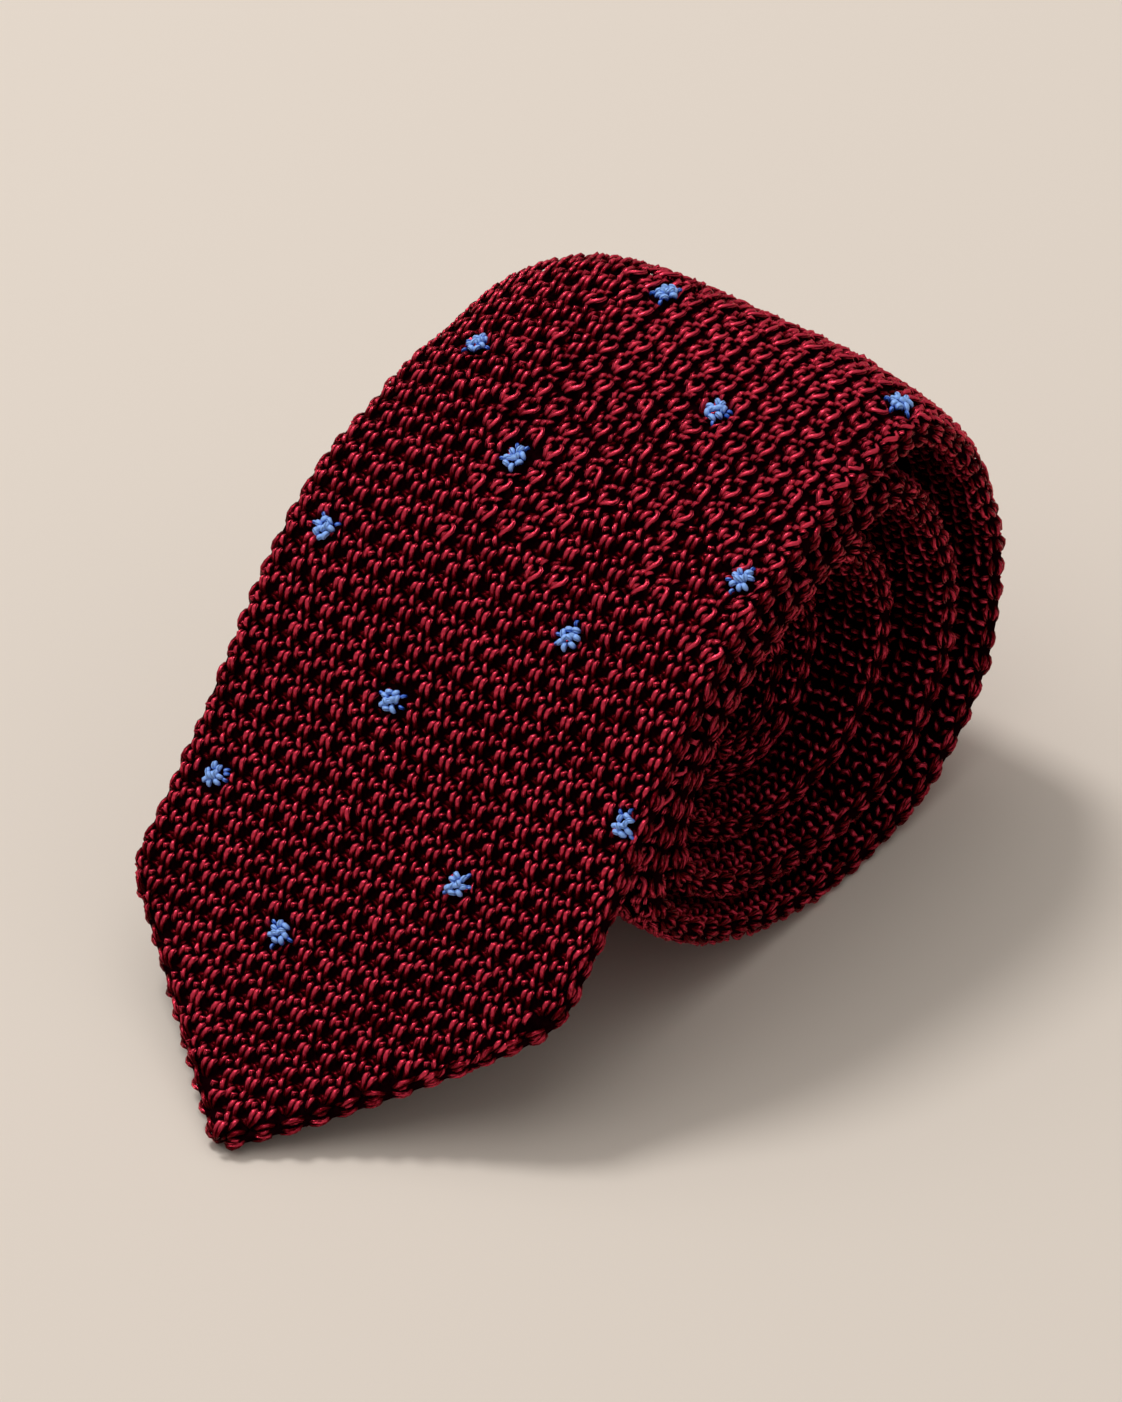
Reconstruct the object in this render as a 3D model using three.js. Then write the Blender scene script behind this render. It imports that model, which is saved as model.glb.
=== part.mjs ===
// Knitted tie, rolled up from its narrow end and lying on its side.
// Millimetres and degrees. +Z is up, the pointed end lies towards -Y, and the roll's axis is X.
// The roll stands on the ground, and the wide end comes over its top and slopes down to the ground.
import * as THREE from "three";

// Sizes of the cloth
const bladeWidth = 64;
const clothThickness = 4.3;
const pointDepthLeft = 28.6;
const pointDepthRight = 32.9;
const noseRadius = 2.4;

// Sizes of the roll
const rollRadius = 37.9;
const coreRadius = 5;
const pressedDepth = 0.4;
const seamGap = 0.3;

// Slope of the wide end where it leaves the roll, and at its point
const leadAngle = 50.9;
const tipAngle = 13.5;
const slopeBend = 1.925;

// Raised spots of the second colour
const spotWidth = 3.4;
const spotLength = 4.0;
const spotHeight = 0.8;
const spotGap = 0.3;
const spotRowStep = 16.5;

// Lobes that make the turns oval: how many, depth as a share of rollRadius, direction of the first
const rollForm = [
  { lobes: 2, depth: 0.0981, towards: 13.4 },
  { lobes: 3, depth: 0.0672, towards: 67.1 },
  { lobes: 4, depth: 0.0069, towards: -19.4 },
  { lobes: 5, depth: 0.0087, towards: 3.2 },
];

// How the turns lie, counted inwards from where the wide end leaves the roll.
// form is the share of the lobes, loose the gap and thick the cloth as shares of clothThickness,
// and slide the share of slidePerTurn.
const windings = [
  { turn: 0, form: 1, loose: 0.7, thick: 1, slide: 1 },
  { turn: 0.85, form: 1, loose: 0.74, thick: 1, slide: 1 },
  { turn: 1.5, form: 0.84, loose: 0.78, thick: 1, slide: 0.9 },
  { turn: 2.2, form: 0.64, loose: 0.7, thick: 0.97, slide: 0.8 },
  { turn: 3, form: 0.4, loose: 0.6, thick: 0.88, slide: 0.5 },
  { turn: 4, form: 0.15, loose: 0.4, thick: 0.76, slide: 0.1 },
  { turn: 5, form: 0.03, loose: 0.22, thick: 0.7, slide: 0 },
  { turn: 6, form: 0, loose: 0.14, thick: 0.68, slide: 0 },
];

// Drift of the inner turns towards the front and the ground, as shares of rollRadius
const slidePerTurn = { front: 0.0543, down: 0.019 };

// Width from the point to the narrow end: share of the length, share of bladeWidth
const widths = [
  { along: 0, width: 1 },
  { along: 0.35, width: 1 },
  { along: 0.53, width: 0.97 },
  { along: 0.66, width: 0.91 },
  { along: 0.76, width: 0.8 },
  { along: 0.86, width: 0.66 },
  { along: 0.92, width: 0.62 },
  { along: 1, width: 0.66 },
];

// Sag of the two edges of the turns: direction from the axis (0 back, 90 up), shares of rollRadius
const edgeSag = [
  { towards: -30, left: 0, right: 0 },
  { towards: 0, left: 0.119, right: 0.045 },
  { towards: 20, left: 0.211, right: 0.079 },
  { towards: 50, left: 0.237, right: 0.09 },
  { towards: 80, left: 0.237, right: 0.09 },
  { towards: 110, left: 0.145, right: 0.076 },
  { towards: 141, left: 0.013, right: 0.026 },
  { towards: 165, left: 0, right: 0 },
];
const sagPower = 4;

// Turns at which the front blade ends and the neckband ends
const frontBladeTurns = 2;
const neckbandTurns = 3.6;

// Spots: row from the point in steps of spotRowStep, place across as a share of half bladeWidth
const spots = [
  { row: 1.7, across: -0.253 },
  { row: 2.58, across: -0.822 },
  { row: 2.61, across: 0.356 },
  { row: 3.67, across: -0.231 },
  { row: 3.56, across: 0.92 },
  { row: 4.62, across: -0.809 },
  { row: 4.65, across: 0.375 },
  { row: 5.7, across: -0.234 },
  { row: 5.6, across: 0.881 },
  { row: 6.5, across: -0.709 },
  { row: 6.75, across: 0.353 },
  { row: 7.6, across: -0.216 },
  { row: 7.76, across: 0.869 },
  { row: 8.68, across: -0.78 },
  { row: 8.68, across: 0.36 },
  { row: 9.68, across: -0.22 },
  { row: 9.68, across: 0.87 },
  { row: 10.68, across: -0.78 },
  { row: 10.68, across: 0.36 },
];

// Fineness of the faceted solids
const samplesPerTurn = 360;
const tailSamples = 400;
const tailSections = 12;
const outerTurnStep = 5;
const innerTurnStep = 12;
const faceShares = [-1, -0.88, -0.7, -0.4, 0, 0.4, 0.7, 0.88, 1];
const edgeArcAngles = [45, 0, -45];
const spotSides = 8;

const radians = (degrees) => (degrees * Math.PI) / 180;
const degrees = (angle) => (angle * 180) / Math.PI;

// Value of a table's column between its rows, straight or eased
function between(table, key, x, column, ease) {
  const last = table.length - 1;
  if (x <= table[0][key]) {
    return table[0][column];
  }
  if (x >= table[last][key]) {
    return table[last][column];
  }
  let row = 0;
  while (x > table[row + 1][key]) {
    row += 1;
  }
  const low = table[row];
  const high = table[row + 1];
  let share = (x - low[key]) / (high[key] - low[key]);
  if (ease) {
    share = share * share * (3 - 2 * share);
  }
  return low[column] + (high[column] - low[column]) * share;
}

// Value of evenly spaced samples, carried on straight past both ends
function sampled(samples, position) {
  const index = Math.min(Math.max(Math.floor(position), 0), samples.length - 2);
  const share = position - index;
  return samples[index] + (samples[index + 1] - samples[index]) * share;
}

// Position of a value in rising samples
function positionOf(samples, value) {
  let index = 0;
  while (index < samples.length - 2 && samples[index + 1] < value) {
    index += 1;
  }
  return index + (value - samples[index]) / (samples[index + 1] - samples[index]);
}

function thicknessAt(turn) {
  return clothThickness * between(windings, "turn", turn, "thick", false);
}

// How far each sample of the winding has come in from the outer turn
const drift = [0];
const slide = [0];
while (rollRadius - drift[drift.length - 1] > coreRadius || drift.length < samplesPerTurn) {
  const turn = (drift.length - 0.5) / samplesPerTurn;
  const loose = clothThickness * between(windings, "turn", turn, "loose", false);
  const step = (thicknessAt(turn) + loose) / samplesPerTurn;
  drift.push(drift[drift.length - 1] + step);
  slide.push(slide[slide.length - 1] + between(windings, "turn", turn, "slide", false) / samplesPerTurn);
}
const turnCount = (drift.length - 1) / samplesPerTurn;

// Distance of the turn's tangent from the roll's axis, for an angle turned since the top
function reachAt(turned) {
  const turn = turned / (2 * Math.PI);
  const facing = radians(leadAngle + 90) - turned;
  const share = between(windings, "turn", turn, "form", true);
  let reach = rollRadius - sampled(drift, turn * samplesPerTurn);
  for (const { lobes, depth, towards } of rollForm) {
    reach += share * depth * rollRadius * Math.cos(lobes * (facing - radians(towards)));
  }
  const moved = rollRadius * sampled(slide, turn * samplesPerTurn);
  reach -= slidePerTurn.front * moved * Math.cos(facing);
  reach -= slidePerTurn.down * moved * Math.sin(facing);
  return reach;
}

// Middle of the cloth at an angle turned, with the roll's axis at the origin
function rollPoint(turned) {
  const step = radians(0.5);
  const reach = reachAt(turned);
  const change = (reachAt(turned - step) - reachAt(turned + step)) / (2 * step);
  const facing = radians(leadAngle + 90) - turned;
  return {
    y: reach * Math.cos(facing) - change * Math.sin(facing),
    z: reach * Math.sin(facing) + change * Math.cos(facing),
  };
}

// Length along the winding, and the lowest place of the outer turn
const arc = [0];
let lowest = 0;
let before = rollPoint(0);
for (let index = 1; index < drift.length; index += 1) {
  const turned = (index * 2 * Math.PI) / samplesPerTurn;
  const point = rollPoint(turned);
  arc.push(arc[index - 1] + Math.hypot(point.y - before.y, point.z - before.z));
  const outwards = (Math.cos(radians(leadAngle) - turned) * thicknessAt(turned / (2 * Math.PI))) / 2;
  lowest = Math.min(lowest, point.z + outwards);
  before = point;
}
const axisHeight = -lowest - pressedDepth;

// Free end: it leaves the roll at leadAngle and flattens out to tipAngle at the ground
const leaving = rollPoint(0);
const slopeAt = (share) => radians(leadAngle - (leadAngle - tipAngle) * Math.pow(share, slopeBend));
let meanFall = 0;
for (let index = 0; index < tailSamples; index += 1) {
  meanFall += Math.sin(slopeAt((index + 0.5) / tailSamples)) / tailSamples;
}
const tailLength = (leaving.z + axisHeight + pressedDepth - clothThickness / 2) / meanFall;
const tailForward = [0];
const tailFall = [0];
for (let index = 0; index < tailSamples; index += 1) {
  const slope = slopeAt((index + 0.5) / tailSamples);
  tailForward.push(tailForward[index] + (Math.cos(slope) * tailLength) / tailSamples);
  tailFall.push(tailFall[index] + (Math.sin(slope) * tailLength) / tailSamples);
}
const tieLength = tailLength + arc[arc.length - 1];

// Middle of the cloth and its heading at a distance from the point
function pathAt(along) {
  if (along < tailLength) {
    const share = 1 - along / tailLength;
    const y = leaving.y - sampled(tailForward, share * tailSamples);
    const z = leaving.z + axisHeight - sampled(tailFall, share * tailSamples);
    return { y, z, heading: slopeAt(Math.max(share, 0)), turn: 0 };
  }
  const turned = (positionOf(arc, along - tailLength) * 2 * Math.PI) / samplesPerTurn;
  const point = rollPoint(turned);
  return {
    y: point.y,
    z: point.z + axisHeight,
    heading: radians(leadAngle) - turned,
    turn: turned / (2 * Math.PI),
  };
}

// Distance from the point at a number of turns
function alongAt(turn) {
  return tailLength + sampled(arc, turn * samplesPerTurn);
}

// Share of the full half width near the point, with a rounded corner
function pointShare(along, depth) {
  const corner = 0.12;
  const beyond = along / depth - 1;
  if (beyond < -corner) {
    return along / depth;
  }
  if (beyond > corner) {
    return 1;
  }
  return 1 - (beyond - corner) ** 2 / (4 * corner);
}

// Half width on one side: a rounded nose, a straight slanting edge, then the full width
function sideWidth(along, full, depth) {
  const spread = Math.sqrt(1 + (depth / full) ** 2);
  if (along < noseRadius * (1 - 1 / spread)) {
    return Math.sqrt(along * (2 * noseRadius - along));
  }
  return full * pointShare(along + noseRadius * (spread - 1), depth);
}

function halfWidths(along) {
  const full = (bladeWidth / 2) * between(widths, "along", along / tieLength, "width", false);
  const least = clothThickness * 0.1;
  return {
    left: Math.max(sideWidth(along, full, pointDepthLeft), least),
    right: Math.max(sideWidth(along, full, pointDepthRight), least),
  };
}

// Place in space of a spot on the cloth, lifted along its outward side
function clothPoint(along, across, lift) {
  const path = pathAt(along);
  const y = path.y - Math.sin(path.heading) * lift;
  const z = path.z + Math.cos(path.heading) * lift - axisHeight;
  const towards = degrees(Math.atan2(z, y));
  const side = across < 0 ? "left" : "right";
  const sag = between(edgeSag, "towards", towards, side, true);
  const keep = 1 - sag * Math.pow(Math.abs(across) / (bladeWidth / 2), sagPower);
  return [across, y * keep, Math.max(axisHeight + z * keep, 0)];
}

// Outline of the cloth across its length, from the left edge over the top and back underneath
function clothRing(along) {
  const width = halfWidths(along);
  const least = Math.min(width.left, width.right);
  const half = Math.min(thicknessAt(pathAt(along).turn) / 2, least * 0.95);
  const left = half - width.left;
  const right = width.right - half;
  const places = [];
  for (const share of faceShares) {
    places.push([left + ((right - left) * (share + 1)) / 2, half]);
  }
  for (const angle of edgeArcAngles) {
    places.push([right + half * Math.cos(radians(angle)), half * Math.sin(radians(angle))]);
  }
  for (const share of faceShares) {
    places.push([right - ((right - left) * (share + 1)) / 2, -half]);
  }
  for (const angle of edgeArcAngles) {
    places.push([left - half * Math.cos(radians(angle)), -half * Math.sin(radians(angle))]);
  }
  return places.map(([across, lift]) => clothPoint(along, across, lift));
}

// Closed solid through a row of outlines
function skin(rings) {
  const count = rings[0].length;
  const faces = [];
  for (let ring = 0; ring < rings.length - 1; ring += 1) {
    for (let side = 0; side < count; side += 1) {
      const next = (side + 1) % count;
      const a = ring * count + side;
      const b = ring * count + next;
      faces.push(a, b, a + count);
      faces.push(b, b + count, a + count);
    }
  }
  const arcs = edgeArcAngles.length;
  const start = count - (arcs + 1) / 2;
  const strip = (offset, flip) => {
    const at = (place) => offset + (((start + place) % count) + count) % count;
    for (let place = 0; place < count / 2 - 1; place += 1) {
      const a = at(place);
      const b = at(place + 1);
      const c = at(-place - 1);
      const d = at(-place);
      if (place > 0) {
        faces.push(...(flip ? [a, b, d] : [a, d, b]));
      }
      faces.push(...(flip ? [b, c, d] : [b, d, c]));
    }
    const last = count / 2;
    const a = at(last);
    const b = at(last - 1);
    const c = at(last + 1);
    faces.push(...(flip ? [b, a, c] : [b, c, a]));
  };
  strip(0, false);
  strip((rings.length - 1) * count, true);
  const geometry = new THREE.BufferGeometry();
  geometry.setAttribute("position", new THREE.Float32BufferAttribute(rings.flat(2), 3));
  geometry.setIndex(faces);
  geometry.computeVertexNormals();
  return geometry;
}

// Distances from the point at which the cloth gets an outline, between two of them
function sectionsBetween(from, to) {
  const places = [from];
  const add = (place) => {
    if (place - places[places.length - 1] > 0.5 && to - place > 0.5) {
      places.push(place);
    }
  };
  if (from === 0) {
    add(noseRadius * 0.27);
    add(noseRadius * 0.6);
    add(noseRadius * 1.2);
    for (let step = 1; step <= tailSections; step += 1) {
      add((tailLength * step) / tailSections);
    }
  }
  let turned = outerTurnStep;
  while (turned < turnCount * 360) {
    add(alongAt(turned / 360));
    turned += turned < 360 ? outerTurnStep : innerTurnStep;
  }
  places.push(to);
  return places;
}

function clothLength(from, to) {
  return skin(sectionsBetween(from, to).map(clothRing));
}

// Low eight-sided dome on the outward face
function spotDome({ row, across }) {
  const along = row * spotRowStep;
  const middle = (across * bladeWidth) / 2;
  const base = clothThickness / 2 + spotGap;
  const levels = [
    { lift: base, size: 0.5 },
    { lift: base + spotHeight * 0.6, size: 0.42 },
  ];
  const points = [];
  for (const { lift, size } of levels) {
    for (let side = 0; side < spotSides; side += 1) {
      const angle = (side * 2 * Math.PI) / spotSides;
      const x = middle + spotWidth * size * Math.cos(angle);
      const y = along + spotLength * size * Math.sin(angle);
      points.push(clothPoint(y, x, lift));
    }
  }
  points.push(clothPoint(along, middle, base));
  points.push(clothPoint(along, middle, base + spotHeight));
  const under = 2 * spotSides;
  const top = under + 1;
  const faces = [];
  for (let side = 0; side < spotSides; side += 1) {
    const next = (side + 1) % spotSides;
    faces.push(under, next, side);
    faces.push(side, next, side + spotSides);
    faces.push(next, next + spotSides, side + spotSides);
    faces.push(top, side + spotSides, next + spotSides);
  }
  const geometry = new THREE.BufferGeometry();
  geometry.setAttribute("position", new THREE.Float32BufferAttribute(points.flat(), 3));
  geometry.setIndex(faces);
  geometry.computeVertexNormals();
  return geometry;
}

function piece(name, geometry, colour) {
  const material = new THREE.MeshStandardMaterial({ color: colour, roughness: 0.8 });
  const mesh = new THREE.Mesh(geometry, material);
  mesh.name = name;
  return mesh;
}

const tie = new THREE.Group();
tie.name = "knit_tie";
const frontBladeEnd = alongAt(frontBladeTurns);
const neckbandEnd = alongAt(neckbandTurns);
tie.add(piece("front_blade", clothLength(0, frontBladeEnd), 0x7d1a2c));
tie.add(piece("neckband", clothLength(frontBladeEnd + seamGap, neckbandEnd), 0x741828));
tie.add(piece("back_blade", clothLength(neckbandEnd + seamGap, tieLength), 0x6b1524));
spots.forEach((spot, index) => {
  const name = `spot_${String(index + 1).padStart(2, "0")}`;
  tie.add(piece(name, spotDome(spot), 0x7ea0d6));
});

// The origin is on the ground under the middle of the tie's box
const box = new THREE.Box3().setFromObject(tie);
const middleY = (box.min.y + box.max.y) / 2;
for (const mesh of tie.children) {
  mesh.geometry.translate(0, -middleY, 0);
}

export default tie;
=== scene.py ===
import math

import bpy
import numpy as np
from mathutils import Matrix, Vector


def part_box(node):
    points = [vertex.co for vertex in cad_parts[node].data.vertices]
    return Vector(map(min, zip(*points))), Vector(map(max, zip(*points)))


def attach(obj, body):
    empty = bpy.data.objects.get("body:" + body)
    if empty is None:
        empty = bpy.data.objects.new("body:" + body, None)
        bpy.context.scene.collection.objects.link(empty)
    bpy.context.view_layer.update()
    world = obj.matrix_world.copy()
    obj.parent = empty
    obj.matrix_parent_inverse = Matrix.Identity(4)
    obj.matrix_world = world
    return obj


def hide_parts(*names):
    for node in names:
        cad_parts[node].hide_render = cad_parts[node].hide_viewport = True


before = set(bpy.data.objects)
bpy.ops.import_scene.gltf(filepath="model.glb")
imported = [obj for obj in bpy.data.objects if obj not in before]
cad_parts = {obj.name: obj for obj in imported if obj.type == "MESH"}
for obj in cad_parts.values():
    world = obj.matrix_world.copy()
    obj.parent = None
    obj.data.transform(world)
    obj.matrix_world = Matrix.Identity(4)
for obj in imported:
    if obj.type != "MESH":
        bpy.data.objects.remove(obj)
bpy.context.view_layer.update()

# Knitted silk tie, rolled up from its narrow end. The cloth's shape is worked out in millimetres,
# in the same way as the solids, and the stitches are laid on it strand by strand.
MM = 0.001
rng = np.random.default_rng(64)

# ---- cloth and roll, as the solids have them ----
BLADE_WIDTH = 64.0
CLOTH_THICKNESS = 4.3
POINT_DEPTH_LEFT = 28.6
POINT_DEPTH_RIGHT = 32.9
NOSE_RADIUS = 2.4
ROLL_RADIUS = 37.9
CORE_RADIUS = 5.0
PRESSED_DEPTH = 0.4
LEAD_ANGLE = 50.9
TIP_ANGLE = 13.5
SLOPE_BEND = 1.925
SAMPLES_PER_TURN = 360
TAIL_SAMPLES = 400
SLIDE_FRONT = 0.0543
SLIDE_DOWN = 0.019
SAG_POWER = 4
CORNER_BLEND = 0.12
NORMAL_STEP = math.radians(0.5)

# lobes, depth as a share of the roll's radius, direction
ROLL_FORM = ((2, 0.0981, 13.4), (3, 0.0672, 67.1), (4, 0.0069, -19.4), (5, 0.0087, 3.2))

# turn, share of the lobes, gap and cloth as shares of the thickness, share of the slide
WINDINGS = np.array([
    (0, 1, 0.7, 1, 1),
    (0.85, 1, 0.74, 1, 1),
    (1.5, 0.84, 0.78, 1, 0.9),
    (2.2, 0.64, 0.7, 0.97, 0.8),
    (3, 0.4, 0.6, 0.88, 0.5),
    (4, 0.15, 0.4, 0.76, 0.1),
    (5, 0.03, 0.22, 0.7, 0),
    (6, 0, 0.14, 0.68, 0),
])
FORM, LOOSE, THICK, SLIDE = 1, 2, 3, 4

# share of the length, share of the blade's width
WIDTHS = np.array([
    (0, 1), (0.35, 1), (0.53, 0.97), (0.66, 0.91),
    (0.76, 0.8), (0.86, 0.66), (0.92, 0.62), (1, 0.66),
])

# direction from the axis, sag of the left and of the right edge as shares of the roll's radius
EDGE_SAG = np.array([
    (-30, 0, 0), (0, 0.119, 0.045), (20, 0.211, 0.079), (50, 0.237, 0.09),
    (80, 0.237, 0.09), (110, 0.145, 0.076), (141, 0.013, 0.026), (165, 0, 0),
])


def straight(table, column, x):
    return np.interp(x, table[:, 0], table[:, column])


def eased(table, column, x):
    x = np.asarray(x, float)
    row = np.clip(np.searchsorted(table[:, 0], x, side="right") - 1, 0, len(table) - 2)
    share = np.clip((x - table[row, 0]) / (table[row + 1, 0] - table[row, 0]), 0, 1)
    share = share * share * (3 - 2 * share)
    return table[row, column] + (table[row + 1, column] - table[row, column]) * share


def thickness_at(turn):
    return CLOTH_THICKNESS * straight(WINDINGS, THICK, turn)


def winding_samples():
    drift = [0.0]
    slide = [0.0]
    while ROLL_RADIUS - drift[-1] > CORE_RADIUS:
        turn = (len(drift) - 0.5) / SAMPLES_PER_TURN
        pitch = thickness_at(turn) + CLOTH_THICKNESS * straight(WINDINGS, LOOSE, turn)
        drift.append(drift[-1] + pitch / SAMPLES_PER_TURN)
        slide.append(slide[-1] + straight(WINDINGS, SLIDE, turn) / SAMPLES_PER_TURN)
    return np.array(drift), np.array(slide)


drift, slide = winding_samples()
turn_samples = np.arange(len(drift)) / SAMPLES_PER_TURN


def sampled(samples, turn):
    # evenly spaced samples, carried on straight past both ends
    position = np.asarray(turn, float) * SAMPLES_PER_TURN
    index = np.clip(np.floor(position).astype(int), 0, len(samples) - 2)
    return samples[index] + (samples[index + 1] - samples[index]) * (position - index)


def reach_at(turned):
    turn = turned / (2 * math.pi)
    facing = math.radians(LEAD_ANGLE + 90) - turned
    share = eased(WINDINGS, FORM, turn)
    reach = ROLL_RADIUS - sampled(drift, turn)
    for lobes, depth, towards in ROLL_FORM:
        lobe = np.cos(lobes * (facing - math.radians(towards)))
        reach = reach + share * depth * ROLL_RADIUS * lobe
    moved = ROLL_RADIUS * sampled(slide, turn)
    return reach - moved * (SLIDE_FRONT * np.cos(facing) + SLIDE_DOWN * np.sin(facing))


def roll_point(turned):
    reach = reach_at(turned)
    change = (reach_at(turned - NORMAL_STEP) - reach_at(turned + NORMAL_STEP)) / (2 * NORMAL_STEP)
    facing = math.radians(LEAD_ANGLE + 90) - turned
    y = reach * np.cos(facing) - change * np.sin(facing)
    z = reach * np.sin(facing) + change * np.cos(facing)
    return y, z


turned_samples = turn_samples * 2 * math.pi
roll_y, roll_z = roll_point(turned_samples)
arc = np.concatenate([[0], np.cumsum(np.hypot(np.diff(roll_y), np.diff(roll_z)))])
face_up = np.cos(math.radians(LEAD_ANGLE) - turned_samples)
outer_face = roll_z + face_up * thickness_at(turn_samples) / 2
axis_height = -outer_face.min() - PRESSED_DEPTH

tail_shares = (np.arange(TAIL_SAMPLES) + 0.5) / TAIL_SAMPLES


def tail_slope(share):
    return np.radians(LEAD_ANGLE - (LEAD_ANGLE - TIP_ANGLE) * share ** SLOPE_BEND)


tail_slopes = tail_slope(tail_shares)
tail_drop = roll_z[0] + axis_height + PRESSED_DEPTH - CLOTH_THICKNESS / 2
TAIL_LENGTH = tail_drop / np.sin(tail_slopes).mean()
forward_steps = np.concatenate([[0], np.cumsum(np.cos(tail_slopes))])
fall_steps = np.concatenate([[0], np.cumsum(np.sin(tail_slopes))])
tail_forward = forward_steps * TAIL_LENGTH / TAIL_SAMPLES
tail_fall = fall_steps * TAIL_LENGTH / TAIL_SAMPLES
TIE_LENGTH = TAIL_LENGTH + arc[-1]


def path_at(along):
    # middle of the cloth, its heading and its turn, at distances from the point
    along = np.asarray(along, float)
    out = np.clip(TAIL_LENGTH - along, 0, None)
    places = np.arange(TAIL_SAMPLES + 1) / TAIL_SAMPLES * TAIL_LENGTH
    tail_y = roll_y[0] - np.interp(out, places, tail_forward)
    tail_z = roll_z[0] - np.interp(out, places, tail_fall)
    turned = np.interp(along - TAIL_LENGTH, arc, turned_samples)
    on_roll_y, on_roll_z = roll_point(turned)
    rolled = along > TAIL_LENGTH
    y = np.where(rolled, on_roll_y, tail_y)
    z = np.where(rolled, on_roll_z, tail_z)
    heading = np.where(rolled, math.radians(LEAD_ANGLE) - turned, tail_slope(out / TAIL_LENGTH))
    turn = np.where(rolled, turned / (2 * math.pi), 0)
    return y, z, heading, turn


def point_share(ratio):
    # rises with the ratio and turns level at 1, with a rounded corner between
    beyond = ratio - 1
    rounded = 1 - (beyond - CORNER_BLEND) ** 2 / (4 * CORNER_BLEND)
    level = np.where(beyond > CORNER_BLEND, 1, rounded)
    return np.where(beyond < -CORNER_BLEND, ratio, level)


def side_width(along, full, depth):
    spread = np.sqrt(1 + (depth / full) ** 2)
    nose = np.sqrt(np.clip(along * (2 * NOSE_RADIUS - along), 0, None))
    edge = full * point_share((along + NOSE_RADIUS * (spread - 1)) / depth)
    return np.where(along < NOSE_RADIUS * (1 - 1 / spread), nose, edge)


def half_widths(along):
    full = BLADE_WIDTH / 2 * straight(WIDTHS, 1, along / TIE_LENGTH)
    return side_width(along, full, POINT_DEPTH_LEFT), side_width(along, full, POINT_DEPTH_RIGHT)


def half_width(along, across):
    left, right = half_widths(along)
    return np.where(across < 0, left, right)


def cloth_point(along, across, lift):
    # place in space, in millimetres, with the roll's axis over the origin
    y, z, heading, turn = path_at(along)
    y = y - np.sin(heading) * lift
    z = z + np.cos(heading) * lift
    towards = np.degrees(np.arctan2(z, y))
    sag = np.where(across < 0, eased(EDGE_SAG, 1, towards), eased(EDGE_SAG, 2, towards))
    sag = np.where((towards < EDGE_SAG[0, 0]) | (towards > EDGE_SAG[-1, 0]), 0, sag)
    keep = 1 - sag * np.abs(across / (BLADE_WIDTH / 2)) ** SAG_POWER
    return np.stack([across + 0 * y, y * keep, np.maximum(axis_height + z * keep, 0)], -1)


# The solids' origin is under the middle of the whole box: the blade's back gives the shift
BLADE_ON_ROLL = 260
blade_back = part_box("front_blade")[1][1] / MM
blade_places = TAIL_LENGTH + np.linspace(0, BLADE_ON_ROLL, 4000)
blade_lift = thickness_at(path_at(blade_places)[3]) / 2
SHIFT_Y = blade_back - cloth_point(blade_places, 0.0 * blade_places, blade_lift)[:, 1].max()


def to_metres(points):
    moved = points + np.array([0, SHIFT_Y, 0])
    return moved * MM


# ---- materials ----
# fibres per millimetre along and across the yarn, and millimetres round it from ply to ply
FIBRES = (1.6, 4.6, 4.6)
PLY_WIDTH = 0.3
PLY_GROOVE = 0.13
YARN_RELIEF = 0.00022
# how much the fibres lighten the colour in streaks, as painted highlight, how much lighter it is away
# from the ply grooves, as painted shade in the grooves, and how much of the relief is fibres
FIBRE_LIGHT = 0.80
PLY_LIGHT = 0.16
FIBRE_RELIEF = 0.45
# places of the ramp's three colours: the dye's red, painted near black as shade deep in the stitches
# and painted lighter on the crowns
DEEP_STOP, MIDDLE_STOP, CROWN_STOP = 0.30, 0.68, 1.0


def linear(hex_colour):
    # sRGB hex to linear red, green, blue, 1
    parts = [int(hex_colour[i:i + 2], 16) / 255 for i in (1, 3, 5)]
    curve = [c / 12.92 if c <= 0.04045 else ((c + 0.055) / 1.055) ** 2.4 for c in parts]
    return (*curve, 1.0)


def add(tree, kind, settings=None, links=None):
    # one node, with its settings and its links
    node = tree.nodes.new(kind)
    for name, value in (settings or {}).items():
        if isinstance(name, str) and hasattr(node, name):
            setattr(node, name, value)
        else:
            node.inputs[name].default_value = value
    for name, source in (links or {}).items():
        tree.links.new(source, node.inputs[name])
    return node


def new_material(name):
    material = bpy.data.materials.new(name)
    material.use_nodes = True
    tree = material.node_tree
    tree.nodes.clear()
    return material, tree


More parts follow.
